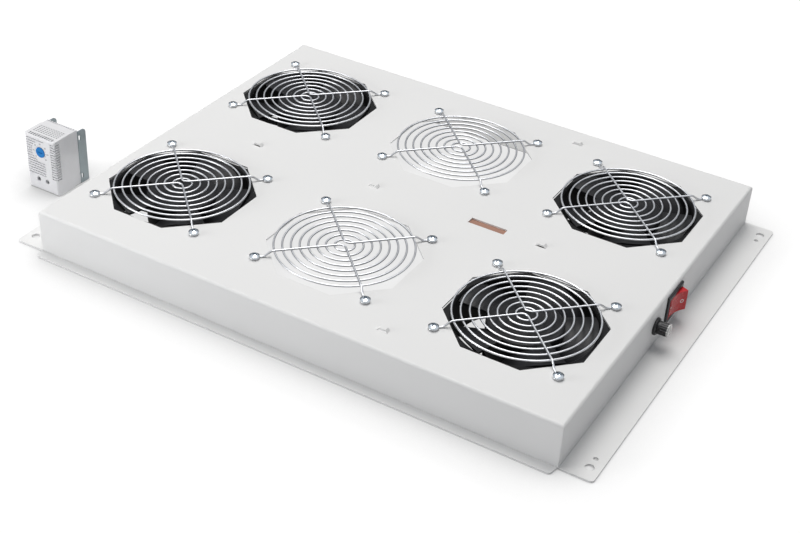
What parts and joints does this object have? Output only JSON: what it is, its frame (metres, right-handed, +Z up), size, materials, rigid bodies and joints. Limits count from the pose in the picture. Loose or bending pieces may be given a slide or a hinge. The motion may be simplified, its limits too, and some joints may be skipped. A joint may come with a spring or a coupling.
{
  "type": "rack fan tray",
  "caption": "Flat folded-metal tray with fans under wire-guarded octagonal openings, a rocker switch and a fuse holder in one end wall, and a small thermostat beside it.",
  "frame": {"origin": "centre of the four bolt holes in the end flanges, on the flange underside", "axes": "+X along the long side towards the end wall with the switch, +Y towards the rear long wall, +Z up through the top plate"},
  "size_m": [0.5945, 0.414, 0.0555],
  "materials": {
    "tray_paint": "fine-textured powder coat",
    "guard_wire": "bright plated wire",
    "zinc": "bright zinc",
    "fan_frame": "satin black",
    "fan_blades": "satin",
    "steel": "machined",
    "winding": "enamelled copper",
    "bronze": "sintered",
    "switch_black": "satin",
    "rocker_red": "glossy",
    "tinned": "tinned",
    "fuse_black": "satin",
    "fuse_pale": "satin",
    "fuse_glass": "clear",
    "board_brown": "pressed board",
    "block_white": "matte",
    "grommet": "matte",
    "stat_grey": "fine matte",
    "dial_blue": "satin",
    "clip_steel": "blue-grey zinc"
  },
  "bodies": {
    "tray": {"tray_shell": "tray_paint", "finger_guard_1": "guard_wire", "finger_guard_2": "guard_wire", "finger_guard_3": "guard_wire", "finger_guard_4": "guard_wire", "finger_guard_5": "guard_wire", "finger_guard_6": "guard_wire", "guard_screws": "zinc", "guard_nuts": "zinc", "fan_frame_1": "fan_frame", "fan_stator_1": "winding", "fan_frame_2": "fan_frame", "fan_stator_2": "winding", "fan_frame_3": "fan_frame", "fan_stator_3": "winding", "fan_frame_4": "fan_frame", "fan_stator_4": "winding", "fan_bearings": "bronze", "switch_housing": "switch_black", "switch_terminals": "tinned", "fuse_holder_body": "fuse_black", "fuse_nut": "fuse_black", "fuse_terminals": "tinned", "insulation_board": "board_brown", "terminal_block": "block_white", "block_screws": "zinc", "cable_grommet": "grommet", "thermostat_cover": "stat_grey", "thermostat_base": "stat_grey", "clamp_screws": "zinc", "thermostat_clip": "clip_steel"},
    "fan_rotor_1": {"fan_impeller_1": "fan_blades", "fan_shaft_1": "steel", "rotor_ring_1": "steel"},
    "fan_rotor_2": {"fan_impeller_2": "fan_blades", "fan_shaft_2": "steel", "rotor_ring_2": "steel"},
    "fan_rotor_3": {"fan_impeller_3": "fan_blades", "fan_shaft_3": "steel", "rotor_ring_3": "steel"},
    "fan_rotor_4": {"fan_impeller_4": "fan_blades", "fan_shaft_4": "steel", "rotor_ring_4": "steel"},
    "rocker": {"switch_rocker": "rocker_red"},
    "fuse_drawer": {"fuse_carrier": "fuse_pale", "fuse_link": "fuse_glass"},
    "fuse_cap": {"fuse_cap": "fuse_black"},
    "dial": {"thermostat_dial": "dial_blue"}
  },
  "joints": [
    {"name": "fan_1_spin", "type": "hinge", "parent": "tray", "child": "fan_rotor_1", "pos_m": [-0.169, -0.09875, 0.02], "axis": [0, 0, 1], "continuous": true},
    {"name": "fan_2_spin", "type": "hinge", "parent": "tray", "child": "fan_rotor_2", "pos_m": [0.163, -0.09875, 0.02], "axis": [0, 0, 1], "continuous": true},
    {"name": "fan_3_spin", "type": "hinge", "parent": "tray", "child": "fan_rotor_3", "pos_m": [-0.169, 0.09875, 0.02], "axis": [0, 0, 1], "continuous": true},
    {"name": "fan_4_spin", "type": "hinge", "parent": "tray", "child": "fan_rotor_4", "pos_m": [0.163, 0.09875, 0.02], "axis": [0, 0, 1], "continuous": true},
    {"name": "rocker_tilt", "type": "hinge", "parent": "tray", "child": "rocker", "pos_m": [0.2435, 0.0112, 0.0228], "axis": [0, 0, 1], "range_deg": [0, 30]},
    {"name": "fuse_pull", "type": "slide", "parent": "tray", "child": "fuse_drawer", "axis": [1, 0, 0], "range_m": [0, 0.034]},
    {"name": "fuse_cap_turn", "type": "hinge", "parent": "fuse_drawer", "child": "fuse_cap", "pos_m": [0.243, -0.0246, 0.021], "axis": [1, 0, 0], "range_deg": [-60, 0]},
    {"name": "dial_turn", "type": "hinge", "parent": "tray", "child": "dial", "pos_m": [-0.307, -0.1245, 0.0403], "axis": [0, -1, 0], "range_deg": [-135, 135]}
  ]
}
